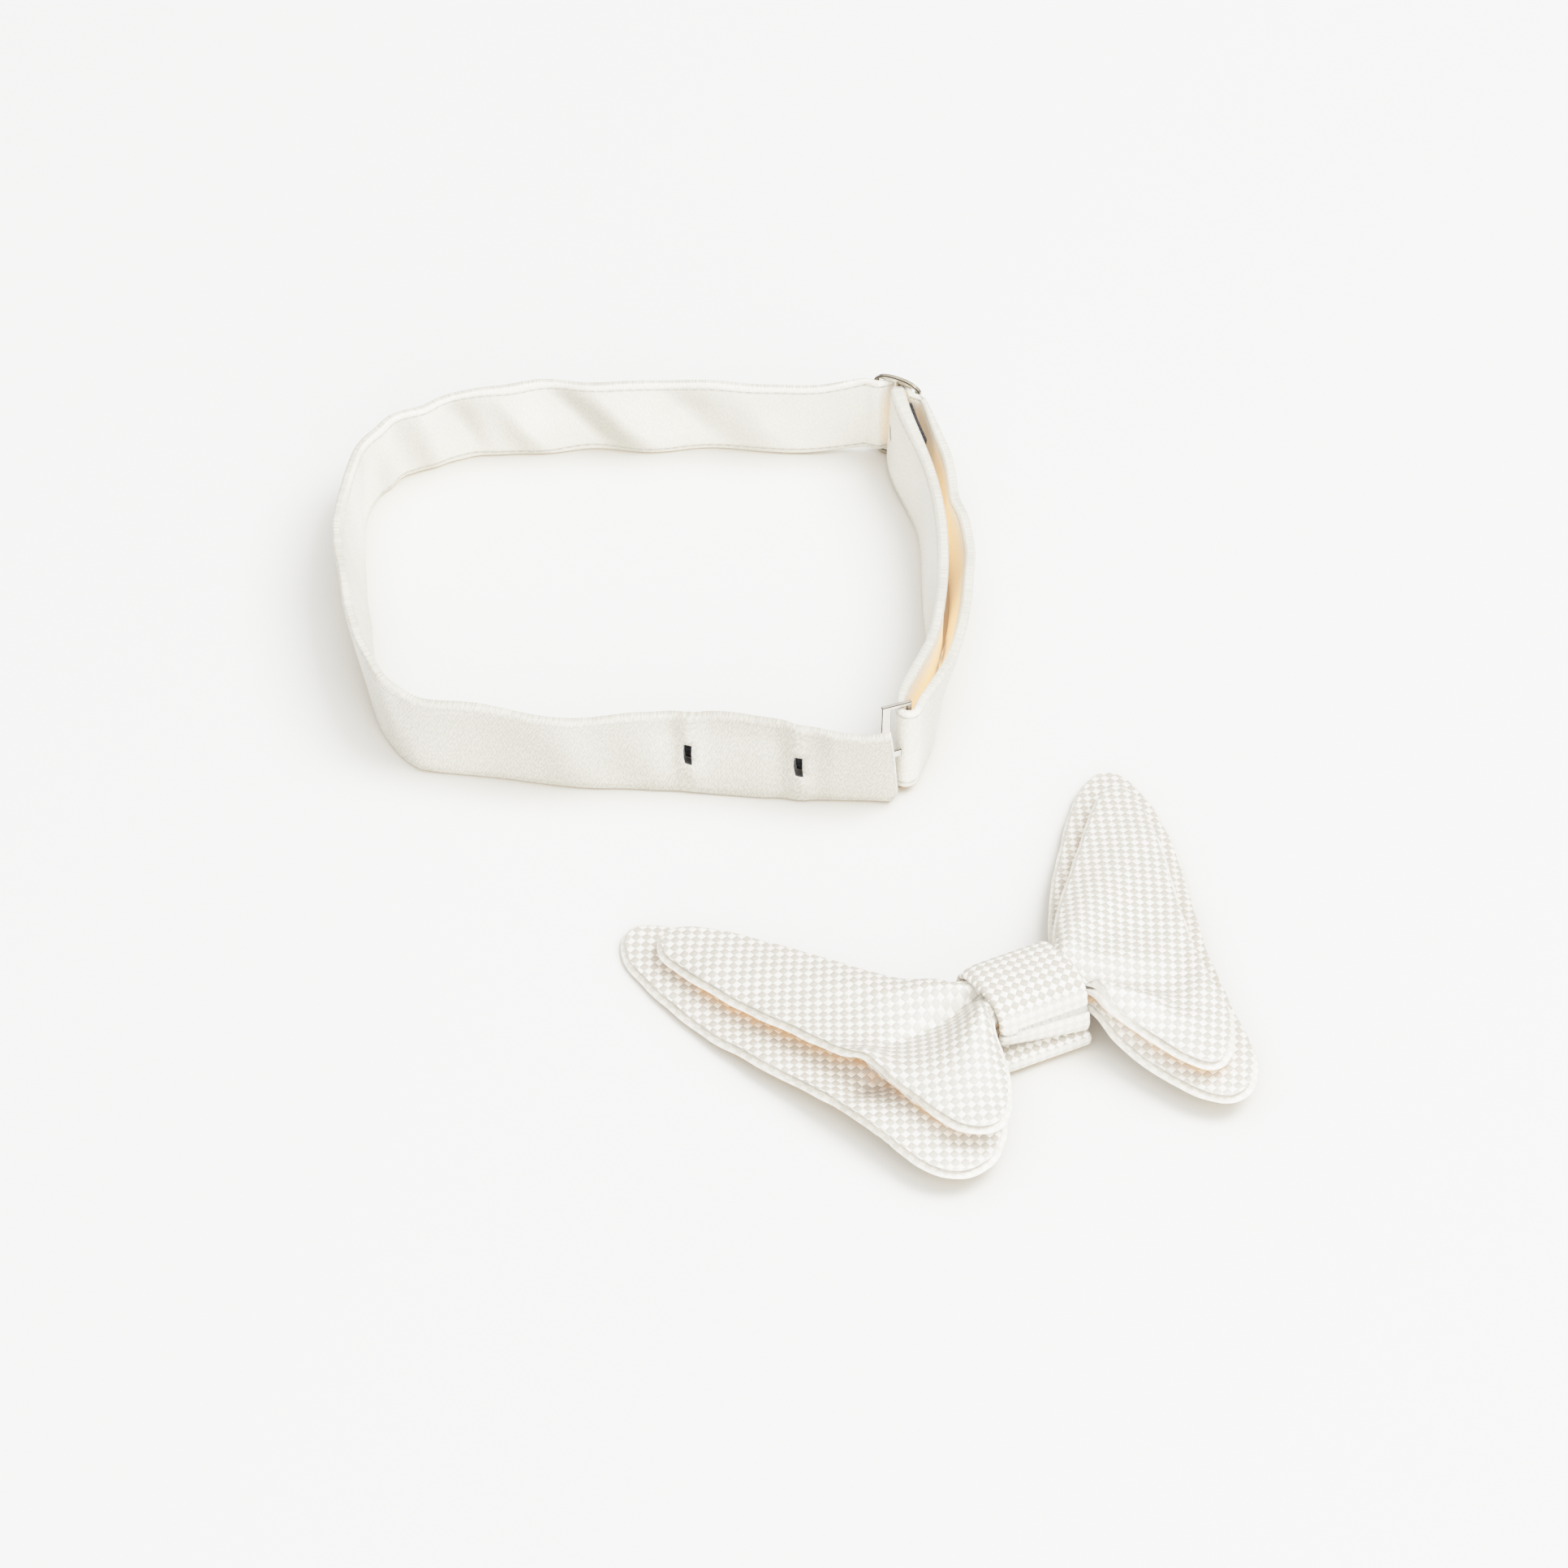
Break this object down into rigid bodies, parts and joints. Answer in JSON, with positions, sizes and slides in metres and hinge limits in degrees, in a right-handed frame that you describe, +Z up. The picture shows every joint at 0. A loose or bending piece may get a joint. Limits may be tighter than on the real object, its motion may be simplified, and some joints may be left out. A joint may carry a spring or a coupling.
{
  "type": "butterfly bow tie",
  "caption": "Butterfly bow tie: a padded woven bow lying in front of its adjustable satin neck band, which stands on edge as a loop with a slider and a hook.",
  "frame": {"origin": "on the surface, under the middle of the bounding box of the whole tie", "axes": "+Z up from the surface, +Y from the viewer to the back of the neck band, +X to the viewer's right"},
  "size_m": [0.1846, 0.2168, 0.0226],
  "materials": {
    "satin": "ivory satin with a soft sheen",
    "tape": "matt black woven tape",
    "metal": "polished silver-coloured plate",
    "weave": "ivory silk basket weave on the bias"
  },
  "bodies": {
    "root": {"neck_strap": "satin", "size_tape_front": "tape", "size_tape_side": "tape", "slider": "metal", "hook": "metal", "bow_front": "weave", "bow_back": "weave", "knot": "weave", "strap_loop": "weave"}
  },
  "joints": []
}
